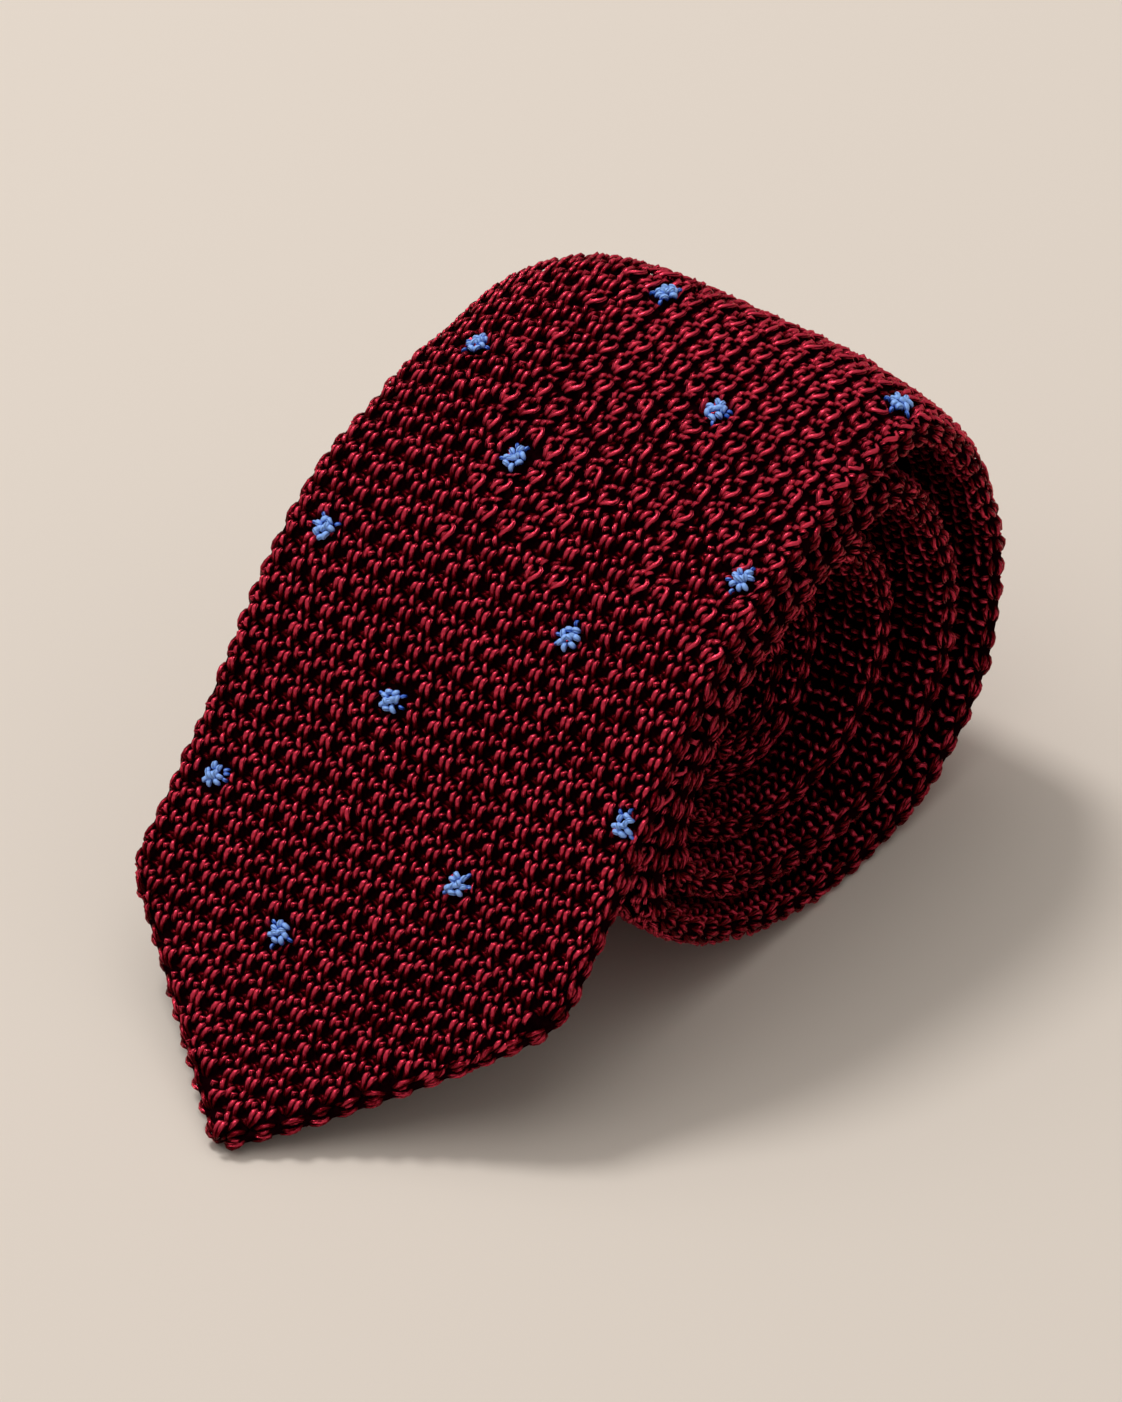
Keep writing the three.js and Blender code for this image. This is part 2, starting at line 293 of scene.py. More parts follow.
def knitted_silk(name, deep, middle, crown, roughness, lustre):
    """Spun silk yarn, knitted: fine fibres run along every strand and two plies wind round it, which
    gives soft streaks of light, in the relief and, as painted highlight and painted shade, in the
    colour. The lustre takes the colour of the dye, as silk's does. The yarn is painted near black deep
    in the stitches, as shade, and lighter on the crowns, as light."""
    material, tree = new_material(name)
    strand = add(tree, "ShaderNodeAttribute", {"attribute_name": "strand"})
    stretched = add(tree, "ShaderNodeMapping", {"Scale": FIBRES}, {"Vector": strand.outputs["Vector"]})
    fibres = add(tree, "ShaderNodeTexNoise", {"Scale": 1.0, "Detail": 3.0, "Roughness": 0.6},
                 {"Vector": stretched.outputs["Vector"]})
    ways = add(tree, "ShaderNodeSeparateXYZ", None, {"Vector": strand.outputs["Vector"]})
    winding = add(tree, "ShaderNodeMath", {"operation": "PINGPONG", 1: PLY_WIDTH},
                  {0: ways.outputs["Y"]})
    ply = add(tree, "ShaderNodeMapRange", {"From Max": PLY_GROOVE},
              {"Value": winding.outputs["Value"]})
    relief = add(tree, "ShaderNodeMath", {"operation": "MULTIPLY_ADD", 1: FIBRE_RELIEF},
                 {0: fibres.outputs["Fac"], 2: ply.outputs["Result"]})
    tint = add(tree, "ShaderNodeAttribute", {"attribute_name": "tint"})
    # painted shade in the ply grooves: the colour is lighter away from them
    lit = add(tree, "ShaderNodeMath", {"operation": "MULTIPLY_ADD", 1: PLY_LIGHT},
              {0: ply.outputs["Result"], 2: tint.outputs["Fac"]})
    # painted highlight: the fibres' noise lightens the colour in streaks along the strand
    streaked = add(tree, "ShaderNodeMath", {"operation": "MULTIPLY_ADD", 1: FIBRE_LIGHT},
                   {0: fibres.outputs["Fac"], 2: lit.outputs["Value"]})
    # the ramp turns the sum into colour: near black as painted shade deep in the stitches, lighter as
    # painted light on the crowns
    ramp = add(tree, "ShaderNodeValToRGB", None, {"Fac": streaked.outputs["Value"]})
    stops = ramp.color_ramp.elements
    stops[0].position = DEEP_STOP
    stops[0].color = linear(deep)
    stops[1].position = CROWN_STOP
    stops[1].color = linear(crown)
    stops.new(MIDDLE_STOP).color = linear(middle)
    bump = add(tree, "ShaderNodeBump", {"Strength": 0.9, "Distance": YARN_RELIEF},
               {"Height": relief.outputs["Value"]})
    shader = add(tree, "ShaderNodeBsdfPrincipled",
                 {"Roughness": roughness, "Metallic": lustre, "Specular IOR Level": 0.35,
                  "Specular Tint": linear(crown)},
                 {"Base Color": ramp.outputs["Color"], "Normal": bump.outputs["Normal"]})
    add(tree, "ShaderNodeOutputMaterial", None, {"Surface": shader.outputs["BSDF"]})
    return material


def yarn_shade(name, deep, colour):
    """The inside of the knitted tube, coloured near black as painted shade, which gives a soft, uneven
    dark between the strands.
    """
    material, tree = new_material(name)
    place = add(tree, "ShaderNodeTexCoord")
    mottle = add(tree, "ShaderNodeTexNoise", {"Scale": 0.9 / MM, "Detail": 2.0},
                 {"Vector": place.outputs["Object"]})
    ramp = add(tree, "ShaderNodeValToRGB", None, {"Fac": mottle.outputs["Fac"]})
    ramp.color_ramp.elements[0].color = linear(deep)
    ramp.color_ramp.elements[1].color = linear(colour)
    shader = add(tree, "ShaderNodeBsdfPrincipled", {"Roughness": 1.0, "Specular IOR Level": 0.0},
                 {"Base Color": ramp.outputs["Color"]})
    add(tree, "ShaderNodeOutputMaterial", None, {"Surface": shader.outputs["BSDF"]})
    return material


def plain_paper(name, colour):
    """Seamless matt paper under the tie, which gives a plain pale ground without a sheen."""
    material, tree = new_material(name)
    shader = add(tree, "ShaderNodeBsdfPrincipled",
                 {"Base Color": linear(colour), "Roughness": 0.85, "Specular IOR Level": 0.2})
    add(tree, "ShaderNodeOutputMaterial", None, {"Surface": shader.outputs["BSDF"]})
    return material


BURGUNDY = knitted_silk("burgundy_knitted_silk", deep="#0c0001", middle="#62030f", crown="#da3c54",
                        roughness=0.19, lustre=0.6)
SPOT_BLUE = knitted_silk("blue_knitted_silk", deep="#040e4c", middle="#2c62e0", crown="#8fbaff",
                         roughness=0.36, lustre=0.08)
SHADE = yarn_shade("burgundy_yarn_in_shade", deep="#040001", colour="#1a0206")


# ---- strands ----
# turn of the plies round a strand, radians to a millimetre
PLY_TWIST = 0.9


def smooth_line(controls, count):
    # Catmull-Rom line through the control points, at evenly spaced parameters
    points = np.asarray(controls, float)
    padded = np.concatenate([[2 * points[0] - points[1]], points, [2 * points[-1] - points[-2]]])
    t = np.linspace(0, len(points) - 1, count)
    i = np.minimum(t.astype(int), len(points) - 2)
    f = (t - i)[:, None]
    a, b, c, d = padded[i], padded[i + 1], padded[i + 2], padded[i + 3]
    square = (2 * a - 5 * b + 4 * c - d) * f ** 2
    cube = (3 * b - a - 3 * c + d) * f ** 3
    return 0.5 * (2 * b + (c - a) * f + square + cube)


def strand_mesh(controls, rings, sides):
    """One closed strand. Each control row is across, along, lift, radius. Returns vertices, faces
    and each vertex's place in the strand (length along it, and the two ways across it)."""
    line = smooth_line(controls, rings + 2)
    centre, radius = line[:, :3], line[:, 3]
    ahead = np.gradient(centre, axis=0)
    ahead /= np.linalg.norm(ahead, axis=1)[:, None]
    side = np.cross(ahead[0], (0.3, 0.2, 1.0))
    vertices = [centre[0]]
    places = [(0.0, 0.0, 0.0)]
    run = np.concatenate([[0], np.cumsum(np.linalg.norm(np.diff(centre, axis=0), axis=1))])
    for k in range(1, rings + 1):
        side = side - ahead[k] * (side @ ahead[k])
        side /= np.linalg.norm(side)
        up = np.cross(ahead[k], side)
        for j in range(sides):
            angle = 2 * math.pi * j / sides
            across, over = radius[k] * math.cos(angle), radius[k] * math.sin(angle)
            vertices.append(centre[k] + side * across + up * over)
            twist = angle + run[k] * PLY_TWIST
            places.append((run[k], radius[k] * math.cos(twist), radius[k] * math.sin(twist)))
    vertices.append(centre[-1])
    places.append((run[-1], 0.0, 0.0))
    last = len(vertices) - 1
    faces = []
    for j in range(sides):
        n = (j + 1) % sides
        faces.append((0, 1 + n, 1 + j))
        for k in range(rings - 1):
            a = 1 + k * sides
            b = a + sides
            faces.append((a + j, a + n, b + n))
            faces.append((a + j, b + n, b + j))
        end = 1 + (rings - 1) * sides
        faces.append((last, end + j, end + n))
    return np.array(vertices), np.array(faces), np.array(places)


def strand_set(strands):
    # several strands as one pattern: vertices, faces, places and each vertex's strand number
    all_vertices, all_faces, all_places, owner = [], [], [], []
    offset = 0
    for number, (controls, rings, sides) in enumerate(strands):
        vertices, faces, places = strand_mesh(controls, rings, sides)
        all_vertices.append(vertices)
        all_faces.append(faces + offset)
        all_places.append(places)
        owner.append(np.full(len(vertices), number))
        offset += len(vertices)
    return (np.concatenate(all_vertices), np.concatenate(all_faces), np.concatenate(all_places),
            np.concatenate(owner))


WALES = 19
WALE = BLADE_WIDTH / WALES
COURSE = 3.67


def cell(rows, rings, sides):
    # control rows in shares of a wale and of a course become millimetres
    return [(u * WALE, v * COURSE, w, r) for u, v, w, r in rows], rings, sides


# Rows are share of the wale, share of the course, height over the face and radius, in millimetres.
# A stitch of the free end: two legs that spread downwards, a fan of four loops above them, and two
# bars underneath.
LEG_LEFT = (
    (0.20, -0.12, -1.80, 0.30), (0.21, 0.02, -1.20, 0.34), (0.24, 0.20, -0.62, 0.36),
    (0.28, 0.38, -0.18, 0.36), (0.33, 0.50, -0.20, 0.32), (0.38, 0.56, -1.10, 0.24),
)
LEG_RIGHT = (
    (0.50, -0.14, -1.80, 0.30), (0.51, 0.00, -1.20, 0.34), (0.53, 0.19, -0.60, 0.36),
    (0.56, 0.39, -0.14, 0.36), (0.60, 0.51, -0.16, 0.32), (0.64, 0.58, -1.10, 0.24),
)
KNOB = (
    (0.08, 0.56, -1.30, 0.24), (0.10, 0.65, -0.22, 0.31), (0.15, 0.74, -0.06, 0.30),
    (0.23, 0.79, -1.20, 0.20),
)
TEARDROP = (
    (0.47, 0.60, -1.40, 0.24), (0.46, 0.72, -0.28, 0.31), (0.43, 0.86, 0.00, 0.31),
    (0.40, 1.00, -0.30, 0.22), (0.39, 1.06, -1.20, 0.12),
)
SIDE_LOOP = (
    (0.82, 0.38, -1.40, 0.26), (0.83, 0.52, -0.50, 0.33), (0.86, 0.69, -0.22, 0.34),
    (0.89, 0.85, -0.36, 0.28), (0.91, 0.92, -1.20, 0.16),
)
SLIVER = (
    (0.68, 0.74, -1.20, 0.16), (0.70, 0.84, -0.40, 0.22), (0.74, 0.95, -0.36, 0.20),
    (0.78, 1.02, -1.10, 0.12),
)
UNDER_BAR = (
    (0.84, 0.24, -1.70, 0.28), (0.96, 0.14, -1.25, 0.34), (1.10, 0.18, -1.25, 0.34),
    (1.26, 0.32, -1.70, 0.28),
)
UNDER_ARCH = (
    (0.72, 1.04, -1.70, 0.28), (0.90, 1.06, -1.25, 0.33), (1.08, 1.00, -1.25, 0.33),
    (1.26, 0.86, -1.70, 0.28),
)

# A stitch of the roll: a long leg that hooks back at its top, a short leg beside it, knobs above
# them, a loop in the groove, and bits of yarn that show between.
HOOKED_LEG = (
    (0.40, -0.10, -1.30, 0.22), (0.46, 0.04, -0.50, 0.27), (0.57, 0.20, -0.18, 0.31),
    (0.70, 0.38, -0.14, 0.31), (0.75, 0.54, -0.20, 0.29), (0.64, 0.66, -0.26, 0.27),
    (0.52, 0.64, -1.10, 0.20),
)
SHORT_LEG = (
    (0.12, 0.06, -1.30, 0.22), (0.17, 0.22, -0.46, 0.28), (0.24, 0.40, -0.16, 0.31),
    (0.31, 0.55, -0.28, 0.28), (0.36, 0.66, -1.20, 0.20),
)
TOP_KNOB = (
    (0.30, 0.74, -1.10, 0.22), (0.35, 0.84, -0.22, 0.29), (0.44, 0.94, -0.20, 0.29),
    (0.54, 1.04, -1.10, 0.20),
)
LOW_KNOB = (
    (0.04, 0.58, -1.40, 0.24), (0.08, 0.70, -0.42, 0.30), (0.14, 0.84, -0.40, 0.30),
    (0.20, 0.97, -1.40, 0.24),
)
GROOVE_LOOP = (
    (0.82, 0.82, -1.70, 0.26), (0.90, 0.94, -1.05, 0.33), (1.06, 1.06, -1.05, 0.33),
    (1.16, 1.18, -1.70, 0.26),
)
STEM_BIT = (
    (0.36, 0.10, -1.20, 0.20), (0.38, 0.24, -0.36, 0.25), (0.46, 0.36, -0.34, 0.25),
    (0.52, 0.48, -1.20, 0.20),
)
CROSS_BIT = (
    (0.02, 0.36, -1.20, 0.20), (0.04, 0.46, -0.56, 0.25), (0.10, 0.56, -0.56, 0.25),
    (0.18, 0.58, -1.20, 0.20),
)
GROOVE_BIT = (
    (0.84, 0.30, -1.60, 0.20), (0.92, 0.40, -0.95, 0.25), (0.96, 0.54, -0.95, 0.25),
    (0.92, 0.66, -1.60, 0.20),
)
TOP_BIT = (
    (0.56, 0.76, -1.20, 0.22), (0.62, 0.86, -0.26, 0.27), (0.70, 0.98, -0.26, 0.27),
    (0.72, 1.10, -1.20, 0.20),
)

# A stitch of the inward face: four short curls in different directions.
CURL_RISING = (
    (0.06, 0.04, -1.20, 0.30), (0.15, 0.26, -0.34, 0.42), (0.34, 0.42, -0.18, 0.42),
    (0.54, 0.34, -1.10, 0.30),
)
CURL_FALLING = (
    (0.46, 0.64, -1.20, 0.30), (0.60, 0.44, -0.32, 0.41), (0.80, 0.36, -0.20, 0.41),
    (0.98, 0.50, -1.10, 0.30),
)
CURL_UPPER = (
    (0.04, 0.60, -1.20, 0.30), (0.20, 0.76, -0.40, 0.41), (0.38, 0.92, -0.34, 0.41),
    (0.46, 1.08, -1.10, 0.30),
)
CURL_SIDE = (
    (0.62, 1.12, -1.20, 0.30), (0.68, 0.92, -0.44, 0.40), (0.84, 0.80, -0.36, 0.40),
    (1.04, 0.84, -1.10, 0.30),
)

# A loop of the edge chain, with the wale running round the edge: two sides, a core, two thin arcs.
CHAIN_UPPER = (
    (0.36, 0.04, -1.50, 0.24), (0.20, 0.22, -0.50, 0.30), (0.08, 0.46, 0.02, 0.34),
    (0.10, 0.74, -0.04, 0.33), (0.24, 0.96, -0.56, 0.28), (0.40, 1.08, -1.50, 0.22),
)
CHAIN_LOWER = (
    (0.64, -0.20, -1.50, 0.24), (0.80, 0.00, -0.50, 0.30), (0.92, 0.26, 0.00, 0.34),
    (0.90, 0.56, -0.06, 0.33), (0.78, 0.80, -0.56, 0.28), (0.60, 0.92, -1.50, 0.22),
)
CHAIN_CORE = (
    (0.54, -0.02, -1.30, 0.24), (0.46, 0.18, -0.20, 0.30), (0.50, 0.46, 0.18, 0.33),
    (0.56, 0.72, -0.14, 0.30), (0.48, 0.88, -1.30, 0.22),
)
CHAIN_ARC_UP = (
    (0.40, 0.16, -1.30, 0.20), (0.29, 0.38, -0.12, 0.26), (0.29, 0.66, -0.10, 0.26),
    (0.40, 0.88, -1.30, 0.20),
)
CHAIN_ARC_LOW = (
    (0.64, 0.08, -1.30, 0.20), (0.72, 0.28, -0.16, 0.26), (0.70, 0.54, -0.12, 0.26),
    (0.60, 0.76, -1.30, 0.20),
)

TAIL_STITCH = strand_set([
    cell(LEG_LEFT, 5, 6), cell(LEG_RIGHT, 5, 6), cell(KNOB, 3, 6), cell(TEARDROP, 4, 5),
    cell(SIDE_LOOP, 4, 6), cell(SLIVER, 3, 4), cell(UNDER_BAR, 3, 4), cell(UNDER_ARCH, 3, 4),
])
ROLL_STITCH = strand_set([
    cell(HOOKED_LEG, 6, 6), cell(SHORT_LEG, 4, 6), cell(TOP_KNOB, 3, 5), cell(LOW_KNOB, 3, 5),
    cell(GROOVE_LOOP, 3, 5), cell(UNDER_BAR, 3, 4), cell(STEM_BIT, 3, 4), cell(CROSS_BIT, 3, 4),
    cell(GROOVE_BIT, 3, 4), cell(TOP_BIT, 3, 4),
])
INNER_STITCH = strand_set([
    cell(CURL_RISING, 4, 4), cell(CURL_FALLING, 4, 4), cell(CURL_UPPER, 4, 4), cell(CURL_SIDE, 3, 4),
])
EDGE_STITCH = strand_set([
    cell(CHAIN_UPPER, 6, 5), cell(CHAIN_LOWER, 6, 5), cell(CHAIN_CORE, 5, 5),
    cell(CHAIN_ARC_UP, 4, 4), cell(CHAIN_ARC_LOW, 4, 4),
])


def facing_out(vertices, faces):
    # the same faces, turned round where the closed pieces come out inside out
    a, b, c = (vertices[faces[:, k]] for k in range(3))
    inside_out = np.einsum("ij,ij->", a - vertices[0], np.cross(b - vertices[0], c - vertices[0])) < 0
    return faces[:, ::-1] if inside_out else faces


def finish_mesh(name, vertices, faces, places, tints, material):
    faces = facing_out(vertices, faces)
    mesh = bpy.data.meshes.new(name)
    mesh.vertices.add(len(vertices))
    mesh.vertices.foreach_set("co", np.asarray(vertices, np.float32).ravel())
    mesh.loops.add(faces.size)
    mesh.loops.foreach_set("vertex_index", faces.astype(np.int32).ravel())
    mesh.polygons.add(len(faces))
    width = faces.shape[1]
    mesh.polygons.foreach_set("loop_start", np.arange(len(faces), dtype=np.int32) * width)
    mesh.polygons.foreach_set("loop_total", np.full(len(faces), width, np.int32))
    mesh.polygons.foreach_set("use_smooth", np.ones(len(faces), bool))
    mesh.update(calc_edges=True)
    if places is not None:
        layer = mesh.attributes.new("strand", "FLOAT_VECTOR", "POINT")
        layer.data.foreach_set("vector", np.asarray(places, np.float32).ravel())
        layer = mesh.attributes.new("tint", "FLOAT", "POINT")
        layer.data.foreach_set("value", np.asarray(tints, np.float32))
    mesh.materials.append(material)
    piece = bpy.data.objects.new(name, mesh)
    bpy.context.scene.collection.objects.link(piece)
    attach(piece, "root")
    return piece


def half_thickness(along):
    return thickness_at(path_at(along)[3]) / 2


def face_lift(along, across, depth):
    # lift of the tube's face over the cloth's middle, lower towards the rounded edges
    half = half_thickness(along)
    width = half_width(along, across)
    past = np.clip((np.abs(across) - (width - half)) / half, 0, 0.97)
    return half * np.sqrt(1 - past ** 2) + depth * half / (CLOTH_THICKNESS / 2)


CROWN_LIGHT = 0.56
CROWN_POWER = 2.2


def painted_depth_light(depth):
    # painted light on a strand by its height: none 1 mm under the face, which is left in painted
    # shade, the most 0.2 mm over it
    return CROWN_LIGHT * np.clip((depth + 1.0) / 1.2, 0, 1) ** CROWN_POWER


def wrapped(along, reach, depth):
    """Across and lift of a place on the tube's outside. The reach is measured over the surface from
    the middle line, and past the flat part it runs on round the edge."""
    half = half_thickness(along)
    flat = np.maximum(half_width(along, reach) - half, 0)
    around = np.clip((np.abs(reach) - flat) / half, 0, 1.4)
    radial = half * (1 + depth / (CLOTH_THICKNESS / 2))
    across = np.sign(reach) * (np.minimum(np.abs(reach), flat) + radial * np.sin(around))
    return across, radial * np.cos(around)


TINT_SPREAD = 0.06
TINT_MOST = 0.15


def yarn_shift(shape):
    # moves the fibres' pattern on, so that no two stitches have the same
    return rng.integers(0, 80, shape) * 0.6


def jittered(pattern, count, spread, turning):
    """The pattern's vertices, once for each cell, with every strand and every cell moved a little and
    every strand turned a little. Returns them with the faces, each vertex's place in its strand and
    its tint, which is painted light by height with a random tone for each strand."""
    vertices, faces, places, owner = pattern
    strands = owner.max() + 1
    middles = np.array([vertices[owner == k].mean(axis=0) for k in range(strands)])[owner]
    moved = rng.normal(0, 1, (count, strands, 3)) * spread
    whole = rng.normal(0, 1, (count, 1, 3)) * spread
    angle = rng.normal(0, turning, (count, strands))[:, owner]
    tint = np.clip(rng.normal(0, TINT_SPREAD, (count, strands)), -TINT_MOST, TINT_MOST)[:, owner]
    arm = vertices - middles
    local = np.stack([
        middles[:, 0] + arm[:, 0] * np.cos(angle) - arm[:, 1] * np.sin(angle),
        middles[:, 1] + arm[:, 0] * np.sin(angle) + arm[:, 1] * np.cos(angle),
        vertices[:, 2] + 0 * angle,
    ], -1) + moved[:, owner] + whole
    # painted light by height: strand tops lighter, near black where they dive as painted shade, with a
    # random tone for each strand
    shade = painted_depth_light(local[:, :, 2]) + tint
    place = (places[None] + yarn_shift((count, 1, 3))).reshape(-1, 3)
    first = np.arange(count)[:, None, None] * len(vertices)
    return local, (faces[None] + first).reshape(-1, 3), place, shade.ravel()


# Spots: distance from the point in steps, and place across as a share of half the width
SPOT_STEP = 16.5
SPOT_RIM = 2.5
SPOT_SINK = 1.4
SPOTS = [
    (1.7, -0.253), (2.58, -0.822), (2.61, 0.356), (3.67, -0.231), (3.56, 0.92),
    (4.62, -0.809), (4.65, 0.375), (5.7, -0.234), (5.6, 0.881), (6.5, -0.709),
    (6.75, 0.353), (7.6, -0.216), (7.76, 0.869), (8.68, -0.78), (8.68, 0.36),
    (9.68, -0.22), (9.68, 0.87), (10.68, -0.78), (10.68, 0.36),
]
spot_places = np.array([(row * SPOT_STEP, across * BLADE_WIDTH / 2) for row, across in SPOTS])


def near_spot(along, across):
    # 1 under a spot, falling to 0 at its rim
    share = np.zeros(along.shape)
    for spot_along, spot_across in spot_places:
        away = np.hypot(along - spot_along, across - spot_across)
        share = np.maximum(share, 1 - away / SPOT_RIM)
    return np.clip(2.2 * share, 0, 1)


# Millimetres that strands and stitches move across, along and up, radians that a strand turns, and
# what is added to the tint as painted light: lighter on the roll, darker as painted shade on the free
# end, the inward faces and the edges.
TAIL_JITTER = ((0.06, 0.07, 0.05), 0.12, -0.02)
ROLL_JITTER = ((0.09, 0.11, 0.08), 0.24, 0.12)
INNER_JITTER = ((0.09, 0.11, 0.07), 0.28, -0.14)
EDGE_JITTER = ((0.10, 0.12, 0.07), 0.16, -0.30)


def lay_stitches(name, pattern, cells, face, jitter):
    """Lays the pattern on the cloth, once for each row of cells: across and along of its corner."""
    spread, turning, painted_light_shift = jitter
    local, faces, place, shade = jittered(pattern, len(cells), spread, turning)
    narrow = straight(WIDTHS, 1, cells[:, 1] / TIE_LENGTH)
    reach = cells[:, 0, None] + local[:, :, 0] * narrow[:, None]
    along = cells[:, 1, None] + local[:, :, 1]
    depth = local[:, :, 2] - (SPOT_SINK * near_spot(along, reach) if face > 0 else 0)
    across, lift = wrapped(along, reach, depth)
    points = to_metres(cloth_point(along.ravel(), across.ravel(), (lift * face).ravel()))
    # the jitter's last value is painted light added to the whole piece: lighter on the roll, darker as
    # painted shade on the free end and the inward faces
    return finish_mesh(name, points, faces, place, shade + painted_light_shift, BURGUNDY)


# Where the stitches begin to slant and how soon all of them do: from the point, and across
SLANT_START, SLANT_BLEND = 78, 22
SLANT_SIDE, SLANT_SIDE_BLEND = -20, 12
# The least room of a stitch's middle: to the cloth's edge, to its two ends and to a spot's middle
EDGE_ROOM = 0.4
POINT_ROOM = 1.5
TIP_ROOM = 1
SPOT_ROOM = 1.2


def slant_share(along, across):
    # 0 where the legs stand straight, 1 where the stitches slant: on the roll, away from its left
    from_point = np.clip((along - SLANT_START) / SLANT_BLEND, 0, 1)
    return from_point * np.clip((across - SLANT_SIDE) / SLANT_SIDE_BLEND, 0, 1)


def stitch_cells(start, end, outward):
    # corners of the stitches whose middles lie inside the cloth's edges
    rows = np.arange(math.ceil(start / COURSE), math.ceil(end / COURSE)) * COURSE
    cells = []
    for along in rows:
        share = straight(WIDTHS, 1, along / TIE_LENGTH)
        for wale in range(WALES):
            across = (-BLADE_WIDTH / 2 + wale * WALE) * share
            step = 0.5 * COURSE * (wale % 2) * slant_share(along, across) if outward else 0
            middle_along = along + 0.5 * COURSE + step
            middle_across = across + 0.5 * WALE * share
            if middle_along < POINT_ROOM or middle_along > TIE_LENGTH - TIP_ROOM:
                continue
            if abs(middle_across) > half_width(middle_along, middle_across) - EDGE_ROOM:
                continue
            near = np.hypot(spot_places[:, 0] - middle_along, spot_places[:, 1] - middle_across)
            if outward and near.min() < SPOT_ROOM:
                continue
            cells.append((across, along + step))
    return np.array(cells)


def near_edges(cells, wales):
    # only the stitches that can be seen past the next turn
    width = half_width(cells[:, 1], cells[:, 0])
    middle = np.abs(cells[:, 0] + WALE / 2)
    return cells[middle > width - wales * WALE]


def between_rows(cells, start, end):
    return cells[(cells[:, 1] >= start) & (cells[:, 1] < end)]


# Distances from the point at which one piece of stitches ends and the next begins
FREE_END = 110
ROLL_TOP_END = 175
OUTER_TURN = TAIL_LENGTH + float(np.interp(1.0, turn_samples, arc))
UNDER_OUTER_TURN = OUTER_TURN + 4
INWARD_OUTER_END = OUTER_TURN + 150
SEEN_WALES = 4

outward_cells = stitch_cells(0, TIE_LENGTH, True)
inward_cells = stitch_cells(0, TIE_LENGTH, False)
slanting = slant_share(outward_cells[:, 1], outward_cells[:, 0])
slanted = rng.uniform(0, 1, len(outward_cells)) < slanting
slanted |= outward_cells[:, 1] > OUTER_TURN
upper = outward_cells[slanted]
lower = outward_cells[~slanted]

free_end = between_rows(lower, 0, FREE_END)
roll_left = between_rows(lower, FREE_END, UNDER_OUTER_TURN)
roll_top = between_rows(upper, 0, ROLL_TOP_END)
roll_back = between_rows(upper, ROLL_TOP_END, UNDER_OUTER_TURN)
inner_turns = near_edges(between_rows(upper, UNDER_OUTER_TURN, TIE_LENGTH), SEEN_WALES)
under_tail = between_rows(inward_cells, 0, TAIL_LENGTH)
inward_outer = near_edges(between_rows(inward_cells, TAIL_LENGTH, INWARD_OUTER_END), SEEN_WALES)
inward_inner = near_edges(between_rows(inward_cells, INWARD_OUTER_END, TIE_LENGTH), SEEN_WALES)
knit_pieces = [
    lay_stitches("stitches_free_end", TAIL_STITCH, free_end, 1, TAIL_JITTER),
    lay_stitches("stitches_roll_left", TAIL_STITCH, roll_left, 1, TAIL_JITTER),
    lay_stitches("stitches_roll_top", ROLL_STITCH, roll_top, 1, ROLL_JITTER),
    lay_stitches("stitches_roll_back", ROLL_STITCH, roll_back, 1, ROLL_JITTER),
    lay_stitches("stitches_inner_turns", INNER_STITCH, inner_turns, 1, INNER_JITTER),
    lay_stitches("stitches_under_tail", INNER_STITCH, under_tail, -1, INNER_JITTER),
    lay_stitches("stitches_inward_outer_turns", INNER_STITCH, inward_outer, -1, INNER_JITTER),
    lay_stitches("stitches_inward_inner_turns", INNER_STITCH, inward_inner, -1, INNER_JITTER),
]


# ---- edges ----
# the chain's first loop starts this far from the point, and keeps this far from the middle line
CHAIN_START = 0.6
CHAIN_MIDDLE = 0.02


def edge_line(side):
    # evenly walked edge of the cloth: distance walked, along, half width and the direction outwards
    near_point = np.linspace(0, 1, 400) ** 3 * 50
    along = np.concatenate([near_point, np.linspace(50.2, TIE_LENGTH - 0.6, 3000)])
    width = half_widths(along)[0 if side < 0 else 1]
    steps = np.stack([np.diff(along), np.diff(width)], -1)
    walked = np.concatenate([[0], np.cumsum(np.linalg.norm(steps, axis=1))])
    even = np.arange(0, walked[-1], 0.5)
    line_along = np.interp(even, walked, along)
    line_width = np.interp(even, walked, width)
    out_along = -np.gradient(line_width, even)
    out_across = np.gradient(line_along, even)
    return even, line_along, line_width, out_along, out_across


def lay_edges(name, pattern, jitter):
    """Both rounded edges of the tube: on each, a chain with one loop to a course."""
    spread, turning, painted_light_shift = jitter
    points, faces, places, shades = [], [], [], []
    offset = 0
    for side in (-1, 1):
        even, line_along, line_width, out_along, out_across = edge_line(side)
        starts = np.arange(CHAIN_START, even[-1] - COURSE, COURSE)
        local, all_faces, place, shade = jittered(pattern, len(starts), spread, turning)
        walked = np.clip(starts[:, None] + local[:, :, 1], 0, even[-1])
        angle = math.pi / 2 * (0.5 - local[:, :, 0] / WALE)
        along = np.interp(walked, even, line_along)
        half = half_thickness(along)
        radial = half + local[:, :, 2] * half / (CLOTH_THICKNESS / 2)
        out = radial * np.cos(angle) - half
        across = np.interp(walked, even, line_width) + out * np.interp(walked, even, out_across)
        along = along + out * np.interp(walked, even, out_along)
        across = side * np.maximum(across, CHAIN_MIDDLE)
        lift = radial * np.sin(angle)
        chain = to_metres(cloth_point(along.ravel(), across.ravel(), lift.ravel()))
        points.append(chain)
        faces.append(facing_out(chain, all_faces) + offset)
        places.append(place)
        # the jitter's last value darkens the whole edge chain as painted shade
        shades.append(shade + painted_light_shift)
        offset += len(chain)
    return finish_mesh(name, np.concatenate(points), np.concatenate(faces),
                       np.concatenate(places), np.concatenate(shades), BURGUNDY)


knit_pieces.append(lay_edges("stitches_edges", EDGE_STITCH, EDGE_JITTER))


